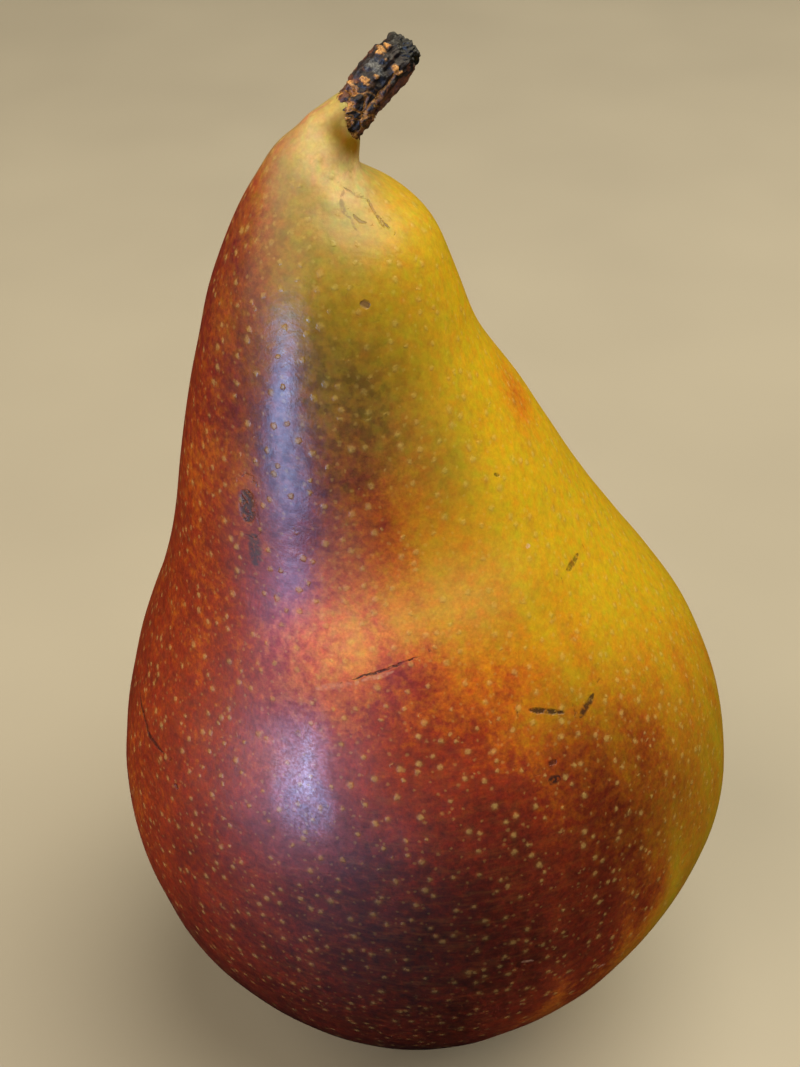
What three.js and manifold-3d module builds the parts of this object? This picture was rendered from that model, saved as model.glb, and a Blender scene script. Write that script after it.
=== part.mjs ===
// A ripe blush pear, standing on the flat ring round the hollow of its base.
//
// Units are millimetres and +Z is up. The origin lies under the middle of the bulb, on the surface
// that the pear stands on. The neck leans towards -X, the stem leans back towards +X, and the side
// that faces -Y is the front.
//
// The pear is three solids: the fruit, which is one grown piece of skin and flesh, the woody stem,
// and the dried calyx, the remains of the flower in the hollow of the base. The stem and the calyx
// each stand in a blind socket of the fruit, with a small clearance all round.

import * as THREE from 'three';
import { mergeVertices } from 'three/addons/utils/BufferGeometryUtils.js';
import Module from 'manifold-3d';

const wasm = await Module();
wasm.setup();

// ---------------------------------------------------------------- driving dimensions

const CLEARANCE = 0.3; // gap between a socket's wall and what stands in it

// The level sections of the fruit, from the flat ring up: [height, radius, centre's place along X].
// The bulb is widest a third of the way up, and the neck leans and ends in a fleshy lip.
const BASE_X = -2.0; // middle of the flat ring, which sits a little to one side of the bulb
const RING_OUTER_RADIUS = 9.5;
const FRUIT_SECTIONS = [
  [0, RING_OUTER_RADIUS, BASE_X],
  [0.8, 12.2, -2.0],
  [3, 16.4, -2.1],
  [7, 20.7, -2.3],
  [13, 25.2, -2.3],
  [22, 30.2, -0.9],
  [32, 33.0, -0.2],
  [42, 32.8, -0.5],
  [52, 30.4, -1.0],
  [62, 25.0, -2.6],
  [72, 20.1, -4.7],
  [82, 16.2, -6.9],
  [91, 12.6, -8.5],
  [98, 10.2, -8.7],
  [103, 7.2, -9.4],
  [106, 4.25, -10.5],
  [108, 3.35, -10.0],
  [109.6, 2.3, -9.3],
  [110.8, 1.5, -8.8],
  [111.3, 0, -8.5],
];
const FRUIT_STEPS = 57; // rings of the skin, three to each section
const FRUIT_SIDES = 60;

// The hollow of the base, from its deepest point out to the flat ring: [height, radius].
const RING_INNER_RADIUS = 7.2;
const HOLLOW_SECTIONS = [
  [6.2, 0],
  [5.9, 2.3],
  [4.5, 4.4],
  [1.9, 6.2],
  [0, RING_INNER_RADIUS],
];
const HOLLOW_STEPS = 8;

// Five shallow lobes round the bulb, one for each seed chamber. They fade out up the neck.
const LOBE_COUNT = 5;
const LOBE_DEPTH = 0.009; // share of the radius
const LOBE_TURN = 0.6; // radians
const LOBE_FADE = [45, 85]; // heights between which the lobes fade

// The stem's middle line, as a quadratic curve from its buried root to its broken tip.
const STEM_ROOT = new THREE.Vector3(-9.0, -0.5, 107.5);
const STEM_BEND = new THREE.Vector3(-6.5, 0.8, 112.0);
const STEM_TIP = new THREE.Vector3(-2.0, 2.6, 115.9);
// [distance along the stem from 0 to 1, radius]
const STEM_SECTIONS = [
  [0, 0],
  [0.01, 1.1],
  [0.08, 1.5],
  [0.25, 1.55],
  [0.38, 1.8],
  [0.48, 1.75],
  [0.6, 1.85],
  [0.7, 1.8],
  [0.82, 1.8],
  [0.92, 1.55],
  [0.985, 1.0],
  [1, 0],
];
const STEM_STEPS = 30;
const STEM_SIDES = 20;
const STEM_RIDGES = 3;
const STEM_RIDGE_DEPTH = 0.07; // share of the radius
const STEM_TWIST = 0.8; // radians that the ridges turn from root to tip

// The calyx: a little dried cup, open downwards, with five sepals spread from its rim. It is made
// about the Z axis and then moved over the middle of the flat ring.
const CUP_PROFILE = [
  [0, 7.8],
  [1.5, 7.6],
  [2.0, 6.7],
  [2.1, 5.1],
  [1.8, 4.2],
  [1.3, 4.3],
  [0.9, 5.3],
  [0, 5.6],
]; // [radius, height]
const CUP_SIDES = 30;
const SEPAL_COUNT = 5;
const SEPAL_TURN = 0.35; // radians
const SEPAL_LENGTH = 3.7;
const SEPAL_WIDTH = 2.4;
const SEPAL_THICKNESS = 0.8;
const SEPAL_DROOP = 0.42; // slope of the sepal, down and outwards
const SEPAL_CURL = 0.07; // extra drop towards the tip, per mm squared
const SEPAL_ROOT = [1.4, 4.7]; // [radius, height] of the sepal's inner end

// ---------------------------------------------------------------- solids

// A closed geometry as a manifold: shared corners are merged and flattened triangles are dropped.
function solidFrom(geometry) {
  geometry.deleteAttribute('normal');
  geometry.deleteAttribute('uv');
  const merged = mergeVertices(geometry);
  const corners = merged.index.array;
  const triangles = [];
  for (let i = 0; i < corners.length; i += 3) {
    const [a, b, c] = corners.subarray(i, i + 3);
    if (a !== b && b !== c && c !== a) triangles.push(a, b, c);
  }
  return new wasm.Manifold(new wasm.Mesh({
    numProp: 3,
    vertProperties: new Float32Array(merged.attributes.position.array),
    triVerts: new Uint32Array(triangles),
  }));
}

function geometryFrom(solid) {
  const mesh = solid.getMesh();
  const geometry = new THREE.BufferGeometry();
  geometry.setAttribute('position', new THREE.BufferAttribute(mesh.vertProperties, 3));
  geometry.setIndex(new THREE.BufferAttribute(mesh.triVerts, 1));
  geometry.computeVertexNormals();
  return geometry;
}

// Turns a profile of Vector2(radius, height) about +Z, then moves each corner by a rule of its own.
// The lathe lays its corners out one column after another, so a corner's place in its column
// says which point of the profile it came from.
function turnedSolid(profile, sides, move) {
  const geometry = new THREE.LatheGeometry(profile, sides).rotateX(Math.PI / 2);
  const position = geometry.attributes.position;
  const corner = new THREE.Vector3();
  for (let i = 0; i < position.count; i += 1) {
    corner.fromBufferAttribute(position, i);
    move(corner, i % profile.length);
    position.setXYZ(i, corner.x, corner.y, corner.z);
  }
  return solidFrom(geometry);
}

// ---------------------------------------------------------------- the fruit

// The skin's outline from the hollow's middle, over the flat ring, to the tip of the neck.
// Each point is Vector3(radius, place of the centre along X, height).
function fruitOutline() {
  const hollow = HOLLOW_SECTIONS.map(([height, radius]) => new THREE.Vector3(radius, BASE_X, height));
  const skin = FRUIT_SECTIONS.map(
    ([height, radius, centre]) => new THREE.Vector3(radius, centre, height),
  );
  return [
    ...new THREE.CatmullRomCurve3(hollow).getPoints(HOLLOW_STEPS),
    ...new THREE.CatmullRomCurve3(skin).getPoints(FRUIT_STEPS),
  ];
}

function lobeFactor(angle, height) {
  const strength = LOBE_DEPTH * (1 - THREE.MathUtils.smoothstep(height, ...LOBE_FADE));
  return 1 + strength * Math.cos(LOBE_COUNT * angle + LOBE_TURN);
}

function fruitBody() {
  const outline = fruitOutline();
  const profile = outline.map(({ x, z }) => new THREE.Vector2(x, z));
  return turnedSolid(profile, FRUIT_SIDES, (corner, section) => {
    const factor = lobeFactor(Math.atan2(corner.y, corner.x), corner.z);
    corner.x = corner.x * factor + outline[section].y;
    corner.y *= factor;
  });
}

// ---------------------------------------------------------------- the stem

// The stem is turned straight, ridged, and then bent along its middle line. `grow` thickens and
// lengthens it all round, which makes the solid that cuts its socket.
function stemBody(grow = 0) {
  const middle = new THREE.QuadraticBezierCurve3(STEM_ROOT, STEM_BEND, STEM_TIP);
  const growShare = grow / middle.getLength();
  const outline = new THREE.CatmullRomCurve3(
    STEM_SECTIONS.map(([along, radius]) => new THREE.Vector3(radius, 0, along)),
  ).getPoints(STEM_STEPS);
  const last = outline.length - 1;
  const profile = outline.map(({ x, z }, i) => new THREE.Vector2(
    i === 0 || i === last ? 0 : x + grow,
    THREE.MathUtils.lerp(-growShare, 1 + growShare, z),
  ));
  return turnedSolid(profile, STEM_SIDES, (corner) => {
    const along = corner.z;
    const angle = Math.atan2(corner.y, corner.x);
    const ridge = 1 + STEM_RIDGE_DEPTH * Math.cos(STEM_RIDGES * angle + STEM_TWIST * along);
    const tangent = middle.getTangent(THREE.MathUtils.clamp(along, 0, 1));
    const side = new THREE.Vector3(0, 1, 0).cross(tangent).normalize();
    const back = tangent.clone().cross(side);
    const reach = corner.clone();
    corner.copy(middle.getPoint(along));
    corner.addScaledVector(side, reach.x * ridge);
    corner.addScaledVector(back, reach.y * ridge);
  });
}

// ---------------------------------------------------------------- the calyx

function cupBody(grow = 0) {
  const profile = CUP_PROFILE.map(([radius, height]) => new THREE.Vector2(radius, height)).reverse();
  if (grow === 0) return turnedSolid(profile, CUP_SIDES, () => {});
  const widest = Math.max(...CUP_PROFILE.map(([radius]) => radius)) + grow;
  const heights = CUP_PROFILE.map(([, height]) => height);
  const mouth = Math.min(...heights);
  const top = Math.max(...heights) + grow;
  const socket = new THREE.CylinderGeometry(widest, widest, top - mouth, CUP_SIDES);
  return solidFrom(socket.rotateX(Math.PI / 2).translate(0, 0, (top + mouth) / 2));
}

// One sepal: a ball flattened to a pointed blade, bent down towards its tip.
function sepalBody(turn) {
  const blade = new THREE.SphereGeometry(1, 12, 8).rotateZ(Math.PI / 2);
  const position = blade.attributes.position;
  const [rootRadius, rootHeight] = SEPAL_ROOT;
  for (let i = 0; i < position.count; i += 1) {
    const share = (1 - position.getX(i)) / 2; // 0 at the root, 1 at the tip
    const along = share * SEPAL_LENGTH;
    const across = position.getY(i) * (SEPAL_WIDTH / 2) * (1 - 0.4 * share);
    const through = position.getZ(i) * (SEPAL_THICKNESS / 2);
    const drop = SEPAL_DROOP * along + SEPAL_CURL * along * along;
    position.setXYZ(i, rootRadius + along, -across, rootHeight - drop + through);
  }
  return solidFrom(blade.rotateZ(turn));
}

function calyxBody() {
  let calyx = cupBody();
  for (let i = 0; i < SEPAL_COUNT; i += 1) {
    calyx = calyx.add(sepalBody(SEPAL_TURN + (i * 2 * Math.PI) / SEPAL_COUNT));
  }
  return calyx.translate([BASE_X, 0, 0]);
}

// ---------------------------------------------------------------- the pear

function piece(name, solid, color, roughness) {
  const material = new THREE.MeshStandardMaterial({ color, roughness, metalness: 0 });
  const mesh = new THREE.Mesh(geometryFrom(solid), material);
  mesh.name = name;
  return mesh;
}

const calyxSocket = cupBody(CLEARANCE).translate([BASE_X, 0, 0]);
const fruit = fruitBody().subtract(stemBody(CLEARANCE)).subtract(calyxSocket);

const pear = new THREE.Group();
pear.add(piece('fruit', fruit, 0x9c4a24, 0.38));
pear.add(piece('stem', stemBody(), 0x38221a, 0.85));
pear.add(piece('calyx', calyxBody(), 0x4b3a2a, 0.9));

export default pear;
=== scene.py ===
# %% [markdown]
# # A ripe blush pear
#
# This lesson dresses a pear. The imported model already holds its three solids at their real size: the
# fruit, the woody stem and the dried calyx in the hollow of the base. Each is plain and faceted. Here
# each one gets a finer surface, worked out with numpy, and a material made of shader nodes only.
#
# The first cell loads the imported model, with two small helpers.

# %% Load the imported model
import math

import bpy
import numpy as np
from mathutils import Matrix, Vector


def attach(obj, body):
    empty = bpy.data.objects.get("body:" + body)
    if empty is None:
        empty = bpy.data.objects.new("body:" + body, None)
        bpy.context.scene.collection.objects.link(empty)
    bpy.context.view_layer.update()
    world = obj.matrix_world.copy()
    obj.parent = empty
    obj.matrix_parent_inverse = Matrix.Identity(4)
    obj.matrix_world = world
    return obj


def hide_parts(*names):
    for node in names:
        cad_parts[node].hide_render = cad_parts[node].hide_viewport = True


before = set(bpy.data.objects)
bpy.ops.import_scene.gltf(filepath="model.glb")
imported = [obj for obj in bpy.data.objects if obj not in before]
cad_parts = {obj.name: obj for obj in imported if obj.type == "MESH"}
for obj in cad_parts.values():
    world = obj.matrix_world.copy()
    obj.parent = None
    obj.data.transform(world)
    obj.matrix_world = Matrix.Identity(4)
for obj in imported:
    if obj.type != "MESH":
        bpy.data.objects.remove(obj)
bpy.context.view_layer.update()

MM = 0.001  # every size below is in millimetres, and the meshes are in metres
print("solids:", sorted(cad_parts))

# %% [markdown]
# ## Three tools for shapes
#
# A pear is a stack of level rings. What changes from ring to ring is a radius, a height and the place of
# the centre, so each of the three is a smooth curve through a few measured sections. A natural cubic
# spline is used, because its curvature never jumps. A gloss shows a jump in curvature as a kink in the
# highlight, even where the outline looks smooth.

# %% A smooth curve through sections
def smoothstep(value, low, high):
    """0 below `low`, 1 above `high`, and an S-shaped rise between them: 3t^2 - 2t^3."""
    t = np.clip((value - low) / (high - low), 0, 1)
    return t * t * (3 - 2 * t)


def smooth_curve(points, count):
    """`count` points, evenly spaced by length, on the natural cubic spline through `points`.

    Between two points the curve is a cubic in the distance walked so far. The second derivatives at the
    points come from one small linear system, which makes the slopes and the curvatures meet.
    """
    points = np.array(points, dtype=float)
    knots = np.concatenate([[0], np.cumsum(np.linalg.norm(np.diff(points, axis=0), axis=1))])
    gaps = np.diff(knots)
    inner = np.arange(1, len(points) - 1)
    system = np.eye(len(points))
    system[inner, inner - 1] = gaps[:-1]
    system[inner, inner] = 2 * (gaps[:-1] + gaps[1:])
    system[inner, inner + 1] = gaps[1:]
    slopes = np.diff(points, axis=0) / gaps[:, None]
    wanted = np.zeros_like(points)
    wanted[inner] = 6 * np.diff(slopes, axis=0)
    bend = np.linalg.solve(system, wanted)

    walked = np.linspace(0, knots[-1], 40 * len(points))
    left = np.clip(np.searchsorted(knots, walked, side="right") - 1, 0, len(gaps) - 1)
    gap = gaps[left][:, None]
    after = (walked - knots[left])[:, None]
    before = gap - after
    dense = (
        bend[left] * before**3 / (6 * gap)
        + bend[left + 1] * after**3 / (6 * gap)
        + (points[left] / gap - bend[left] * gap / 6) * before
        + (points[left + 1] / gap - bend[left + 1] * gap / 6) * after
    )
    length = np.concatenate([[0], np.cumsum(np.linalg.norm(np.diff(dense, axis=0), axis=1))])
    even = np.linspace(0, length[-1], count)
    return np.stack([np.interp(even, length, dense[:, k]) for k in range(dense.shape[1])], axis=1)


# %% [markdown]
# Nothing that grew is even. Two seeded kinds of unevenness serve every piece: soft waves, for swellings
# that run into each other, and cells, for bark that has cracked into plates.

# %% Seeded unevenness
def waves(points, length, seed, count=24):
    """A soft unevenness, mostly between -1 and 1.

    It is the sum of `count` sine waves. Their crests lie about `length` apart and run in random directions.
    """
    rng = np.random.default_rng(seed)
    ways = rng.normal(size=(count, 3))
    ways /= np.linalg.norm(ways, axis=1, keepdims=True)
    pitch = length * rng.uniform(0.7, 1.5, count)
    phase = rng.uniform(0, 2 * np.pi, count)
    turns = points @ (2 * np.pi * ways / pitch[:, None]).T + phase
    return np.sin(turns).sum(axis=-1) / math.sqrt(count)


def plates(across, along, round_count, along_count, seed):
    """Cracked plates on a surface that closes round `across`, which goes from 0 to 1.

    Every cell of a grid holds one random seed point. The result is the distance to the second nearest seed
    less the distance to the nearest, so it is 0 in the cracks, and one random value for each plate.
    """
    rng = np.random.default_rng(seed)
    places = rng.uniform(0.1, 0.9, (along_count + 4, round_count, 2))
    shades = rng.uniform(0, 1, (along_count + 4, round_count))
    u = across * round_count
    v = along * along_count
    column = np.floor(u).astype(int)
    row = np.floor(v).astype(int)
    nearest = np.full(u.shape, 9.0)
    second = np.full(u.shape, 9.0)
    shade = np.zeros(u.shape)
    for row_step in (-1, 0, 1):
        for column_step in (-1, 0, 1):
            r = np.clip(row + row_step + 2, 0, along_count + 3)
            c = (column + column_step) % round_count
            du = column + column_step + places[r, c, 0] - u
            dv = row + row_step + places[r, c, 1] - v
            distance = np.hypot(du, dv)
            closer = distance < nearest
            second = np.where(closer, nearest, np.minimum(second, distance))
            shade = np.where(closer, shades[r, c], shade)
            nearest = np.where(closer, distance, nearest)
    return second - nearest, shade


# %% [markdown]
# A closed surface is a grid of rings whose first and last rings have shrunk to a point. Each end is then
# one vertex with a fan of triangles, the last column is joined to the first, and there is no seam. Values
# that a material needs, such as how red the skin is, are written on the vertices as attributes.

# %% From a grid to a mesh
def per_vertex(grid):
    """One row for each vertex of a closed surface: the first point, all the rings between, the last point."""
    inner = grid[1:-1].reshape(-1, *grid.shape[2:])
    return np.concatenate([grid[:1].mean(axis=1), inner, grid[-1:].mean(axis=1)])


def closed_faces(rings, columns, first):
    """The faces of one closed surface whose vertices are numbered from `first`: a fan, quads, a fan."""
    number = first + 1 + np.arange((rings - 2) * columns).reshape(rings - 2, columns)
    beside = np.roll(number, -1, axis=1)
    last = number[-1, -1] + 1
    quads = np.stack([number[:-1], beside[:-1], beside[1:], number[1:]], axis=-1).reshape(-1, 4)
    start = np.stack([np.full(columns, first), beside[0], number[0]], axis=-1)
    end = np.stack([np.full(columns, last), number[-1], beside[-1]], axis=-1)
    return start.tolist() + quads.tolist() + end.tolist()


def closed_surfaces(name, grids, attributes):
    """One mesh object from grids of [ring, column] = (x, y, z) in mm.

    `attributes` names a number or a vector for each vertex, one grid of them for each grid of places.
    """
    vertices, faces = [], []
    for grid in grids:
        faces += closed_faces(*grid.shape[:2], len(vertices))
        vertices += (per_vertex(grid) * MM).tolist()
    mesh = bpy.data.meshes.new(name)
    mesh.from_pydata(vertices, [], faces)
    for label, values in attributes.items():
        flat = np.concatenate([per_vertex(value) for value in values]).astype(np.float32)
        if flat.ndim == 2:
            mesh.attributes.new(label, "FLOAT_VECTOR", "POINT").data.foreach_set("vector", flat.ravel())
        else:
            mesh.attributes.new(label, "FLOAT", "POINT").data.foreach_set("value", flat)
    mesh.polygons.foreach_set("use_smooth", [True] * len(mesh.polygons))
    mesh.update()
    piece = bpy.data.objects.new(name, mesh)
    bpy.context.scene.collection.objects.link(piece)
    print(f"{name}: {len(grids)} closed surface(s), {sum(len(face) - 2 for face in faces)} triangles")
    return piece


# %% [markdown]
# The fruit, the stem and the calyx's cup are all turned shapes, changed afterwards. So they share a way to
# go round, a way to turn a profile, and a way to find which side is out.

# %% Turned shapes
def full_turn(count):
    """`count` angles evenly round a circle, in radians."""
    return np.arange(count) * 2 * np.pi / count


def turned(reach, turn, height):
    """A grid of places: X is the reach times the turn's cosine, Y the reach times its sine, Z the height."""
    return np.stack([reach * np.cos(turn), reach * np.sin(turn), height + 0 * turn], axis=2)


def profile_rings(profile, count):
    """The radii and the heights of `count` rings on the smooth curve through (radius, height) points.

    No radius is less than 0, and the first and the last are 0, which closes the shape.
    """
    rings = smooth_curve(profile, count)
    radii = np.maximum(rings[:, :1], 0)
    radii[[0, -1]] = 0
    return radii, rings[:, 1:]


def outward(grid):
    """The unit normals of a grid: the way round it crossed with the way along it."""
    along = np.gradient(grid, axis=0)
    around = (np.roll(grid, -1, axis=1) - np.roll(grid, 1, axis=1)) / 2
    normal = np.cross(around, along)
    return normal / np.maximum(np.linalg.norm(normal, axis=2, keepdims=True), 1e-9)


# %% [markdown]
# ## The skin
#
# The skin is one closed surface. It starts in the middle of the base, in the pocket that the calyx grows
# from, runs out over the hollow to the flat ring that the pear stands on, and then up the bulb and the
# leaning neck to the crown. It could be sculpted or box-modelled, but a fruit is nearly a surface of
# revolution, so rings of varying radius and centre hold its form with the fewest numbers.

# %% The sections of the fruit
BASE_X = -2.0  # middle of the flat ring
FRUIT_SECTIONS = [  # [radius, centre's place along X, height]
    (9.5, BASE_X, 0),
    (12.2, -2.0, 0.8),
    (16.4, -2.1, 3),
    (20.7, -2.3, 7),
    (25.2, -2.3, 13),
    (30.2, -0.9, 22),
    (33.0, -0.2, 32),
    (32.8, -0.5, 42),
    (30.4, -1.0, 52),
    (25.0, -2.6, 62),
    (20.1, -4.7, 72),
    (16.2, -6.9, 82),
    (12.6, -8.5, 91),
    (10.2, -8.7, 98),
    (7.2, -9.4, 103),
    (4.25, -10.5, 106),
    (3.35, -10.0, 108),
    (2.3, -9.3, 109.6),
    (1.5, -8.8, 110.8),
    (0, -8.5, 111.3),
]
HOLLOW_SECTIONS = [  # the hollow of the base, from the calyx pocket's edge out to the flat ring
    (2.5, BASE_X, 5.85),
    (4.4, BASE_X, 4.5),
    (6.2, BASE_X, 1.9),
    (7.2, BASE_X, 0),
]
POCKET = [  # the pocket round the calyx, from its middle to its edge
    (0, BASE_X, 8.15),
    (1.3, BASE_X, 8.15),
    (2.2, BASE_X, 8.1),
    (2.4, BASE_X, 7.7),
    (2.42, BASE_X, 6.8),
    (2.45, BASE_X, 6.1),
]
FLAT_RING = [(8.0, BASE_X, 0), (8.75, BASE_X, 0)]
SKIN_COLUMNS = 288
SKIN_RINGS = 250
CROWN_RINGS = 64  # the last rings are set closer, for the lip round the stem
HOLLOW_RINGS = 22
CROWN_HEIGHT = 101

skin_curve = smooth_curve(FRUIT_SECTIONS, 4000)
walked = np.concatenate([[0], np.cumsum(np.linalg.norm(np.diff(skin_curve, axis=0), axis=1))])
crown_start = np.interp(CROWN_HEIGHT, skin_curve[:, 2], walked)
stops = np.concatenate([
    np.linspace(0, crown_start, SKIN_RINGS, endpoint=False),
    np.linspace(crown_start, walked[-1], CROWN_RINGS),
])
skin_rings = np.stack([np.interp(stops, walked, skin_curve[:, k]) for k in range(3)], axis=1)
hollow_rings = smooth_curve(HOLLOW_SECTIONS, HOLLOW_RINGS)
outline = np.concatenate([POCKET, hollow_rings, FLAT_RING, skin_rings])
print(f"outline: {len(outline)} rings, {walked[-1]:.0f} mm from the flat ring to the crown")

# %% [markdown]
# Five shallow lobes go round the bulb, one for each seed chamber, and fade out up the neck. On top of them
# come soft swellings of a tenth of a millimetre or so, which make the highlights wander as they do on
# real fruit, and creases in the hollow of the base. What is particular to one fruit, such as the edge of
# this one's shoulder, is a table of soft round zones, each with a place, a size and an amount. The colours
# are told in the same way further down.

# %% Soft round zones
def zones(points, table):
    """The sum of soft round zones: amount * exp(-distance^2), where the size along X, Y, Z is the unit."""
    total = np.zeros(points.shape[:-1])
    for place, size, amount in table:
        total += amount * np.exp(-(((points - place) / size) ** 2).sum(axis=-1))
    return total


# %% Rings, lobes and swellings
LOBES = 5
LOBE_DEPTH = 0.009  # share of the radius
LOBE_TURN = 0.6
LOBE_FADE = (45, 85)  # heights between which the lobes fade
SWELLINGS = [(26, 0.16, 1), (9, 0.045, 2)]  # [length, height, seed]
STILL_BELOW = (0.5, 5)  # the swellings start between these heights, so that the flat ring stays flat
SHOULDER = [  # [place, size, height]
    ((-10, -21.5, 66.0), (9, 7, 4.5), 0.45),  # the shoulder's edge
    ((-9, -18, 75.5), (9, 7, 4.5), -0.35),  # and the dip over it
]
CREASES = 10
CREASE_DEPTH = 0.28
CREASE_STARTS = (2.5, 3.6)  # radii
CREASE_ENDS = (5.4, 7.1)

angle = full_turn(SKIN_COLUMNS)
radius, centre, height = (outline[:, k, None] for k in range(3))
lobe_strength = LOBE_DEPTH * (1 - smoothstep(height, *LOBE_FADE))
reach = np.maximum(radius, 0) * (1 + lobe_strength * np.cos(LOBES * angle + LOBE_TURN))
skin = turned(reach, angle, height)
skin[..., 0] += centre
skin_normal = outward(skin)

ring_number = np.arange(len(outline))[:, None]
hollow_start = len(POCKET)
flat_start = hollow_start + HOLLOW_RINGS
on_skin = ring_number >= flat_start + len(FLAT_RING)
free = on_skin * smoothstep(skin[..., 2], *STILL_BELOW)
for swelling_length, swelling_height, seed in SWELLINGS:
    swell = swelling_height * free * waves(skin, swelling_length, seed)
    skin = skin + swell[..., None] * skin_normal
skin = skin + zones(skin, SHOULDER)[..., None] * skin_normal

in_hollow = (ring_number >= hollow_start) & (ring_number < flat_start)
hollow_middle = in_hollow * smoothstep(radius, *CREASE_STARTS) * (1 - smoothstep(radius, *CREASE_ENDS))
crease = np.abs(np.cos(CREASES / 2 * angle + 0.5 * np.sin(3 * angle))) ** 3
skin[..., 2] += CREASE_DEPTH * hollow_middle * crease
print("skin in mm:", skin.min(axis=(0, 1)).round(2), skin.max(axis=(0, 1)).round(2))

# %% [markdown]
# ## The lip round the stem
#
# On this kind of pear the flesh climbs the foot of the stem. The skin there could be sculpted. Here it is
# worked out from distances, so it follows whenever the stem's middle line moves. That line comes first.

# %% The stem's middle line
STEM_ROOT = np.array([-9.0, -0.5, 107.5])
STEM_BEND = np.array([-6.5, 0.8, 112.0])
STEM_TIP = np.array([-2.0, 2.6, 115.9])
STEM_SECTIONS = [  # [distance along the stem from 0 to 1, radius]
    (0, 0),
    (0.01, 1.1),
    (0.08, 1.5),
    (0.25, 1.55),
    (0.38, 1.8),
    (0.48, 1.75),
    (0.6, 1.85),
    (0.7, 1.8),
    (0.82, 1.8),
    (0.92, 1.55),
    (0.985, 1.0),
    (1, 0),
]


def stem_middle(along):
    """The quadratic Bezier curve from the stem's root to its tip, and its unit tangent."""
    t = np.asarray(along, dtype=float)[..., None]
    place = (1 - t) ** 2 * STEM_ROOT + 2 * t * (1 - t) * STEM_BEND + t**2 * STEM_TIP
    way = (1 - t) * (STEM_BEND - STEM_ROOT) + t * (STEM_TIP - STEM_BEND)
    return place, way / np.linalg.norm(way, axis=-1, keepdims=True)


def nearest_on_stem(points):
    """The nearest of 121 points on the stem's middle line: its distance, and the tangent there."""
    middle, way = stem_middle(np.linspace(-0.3, 1, 121))
    distance = np.linalg.norm(points[..., None, :] - middle, axis=-1)
    nearest = distance.argmin(axis=-1)
    return distance.min(axis=-1), way[nearest]


def line_distance(points, corners):
    """The distance from each point to the nearest piece of a line through `corners`."""
    corners = np.array(corners, dtype=float)
    found = np.full(points.shape[:-1], np.inf)
    for a, b in zip(corners[:-1], corners[1:]):
        share = np.clip((points - a) @ (b - a) / ((b - a) @ (b - a)), 0, 1)
        found = np.minimum(found, np.linalg.norm(points - a - share[..., None] * (b - a), axis=-1))
    return found


# %% [markdown]
# A ridge runs down the front from the stem's foot, a furrow lies beside it, and a collar of flesh rises
# round the foot, higher on the right than on the left. Close to the bark the skin turns down and is tucked
# in under it, so that no gap shows.

# %% The ridge, the furrow and the collar
RIDGE = [(-10.2, -1.4, 110.4), (-9.7, -2.7, 109.0), (-9.2, -3.9, 107.2), (-8.4, -5.0, 105.2)]
RIDGE_HEIGHT = 0.16
FURROW = [(-7.6, -1.9, 109.2), (-7.3, -2.8, 107.9), (-6.8, -3.6, 106.6)]
FURROW_DEPTH = 0.16
FOLD_WIDTH = 0.9
STEM_FOOT_RADIUS = 1.65
COLLAR_RISE = (0.2, 1.5)  # how far the flesh climbs along the stem, on its left and on its right
COLLAR_SIDES = (-10.4, -8.2)  # where along X it changes from left to right
COLLAR_WIDTH = 1.0
WAIST = [((-6.0, -0.8, 108.3), (1.4, 3.0, 1.7), 0.55)]  # the lip is drawn in on its right
TUCK = (-0.45, 0.1)  # the skin starts to turn down, and has gone down, this far from the stem's bark
TUCK_DEPTH = 3.2

crown = skin[-CROWN_RINGS:]
crown_normal = outward(skin)[-CROWN_RINGS:]
ridge = np.exp(-(line_distance(crown, RIDGE) / FOLD_WIDTH) ** 2)
furrow = np.exp(-(line_distance(crown, FURROW) / FOLD_WIDTH) ** 2)
lift = RIDGE_HEIGHT * ridge - FURROW_DEPTH * furrow - zones(crown, WAIST)
crown += lift[..., None] * crown_normal
from_stem, stem_way = nearest_on_stem(crown)
clear = from_stem - STEM_FOOT_RADIUS
rise = COLLAR_RISE[0] + (COLLAR_RISE[1] - COLLAR_RISE[0]) * smoothstep(crown[..., 0], *COLLAR_SIDES)
collar = rise * np.exp(-(np.maximum(clear, 0) / COLLAR_WIDTH) ** 2)
sunk = 1 - smoothstep(clear, *TUCK)
crown += (collar - TUCK_DEPTH * sunk)[..., None] * stem_way
print(f"middle of the crown {crown[-1, 0, 2]:.1f} mm up; skin's nearest to the stem {from_stem.min():.2f} mm")

# %% [markdown]
# ## Where the skin is red, gold and green
#
# A pear's ground colour is green and turns gold as it ripens. The red is a blush over it, which grows only
# on the side that faced the sun. So the colour is built as it grows: a ground, and over it a wash whose
# density is worked out here and written on the vertices. The blush's edge is an angle round the fruit that
# changes with height. Soft waves, stretched up and down, make it ragged.

# %% The blush's edge
FRONT_EDGE = [  # [height, angle in degrees where the blush has half its density]
    (0, -30),
    (18, -56),
    (26, -62),
    (32, -58),
    (38, -41),
    (44, -35),
    (50, -28),
    (56, -31),
    (62, -47),
    (68, -74),
    (74, -83),
    (80, -91),
    (86, -103),
    (92, -118),
    (98, -126),
    (104, -138),
    (112, -168),
]
BACK_EDGE = [(0, 125), (40, 140), (80, 153), (104, 165), (112, 172)]
EDGE_SOFT = 40  # degrees over which the blush fades, each way
SUN_DENSITY_AND_BASE_SHADE = [  # [height, density on the sunny side; near the base it is raised as painted shade]
    # the first two rows darken the underside as painted shade
    (0, 1.2),
    (16, 1.15),
    (22, 0.92),
    (30, 0.83),
    (38, 0.78),
    (50, 0.71),
    (56, 0.66),
    (62, 0.62),
    (80, 0.64),
    (94, 0.66),
    (99, 0.60),
    (104, 0.44),
    (109, 0.20),
]
RAGGED = [(13, 7.0, 11), (5, 6.0, 12)]  # [length, degrees, seed]
UPRIGHT = np.array([1, 1, 0.3])  # stretches the waves up and down about three times


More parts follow.
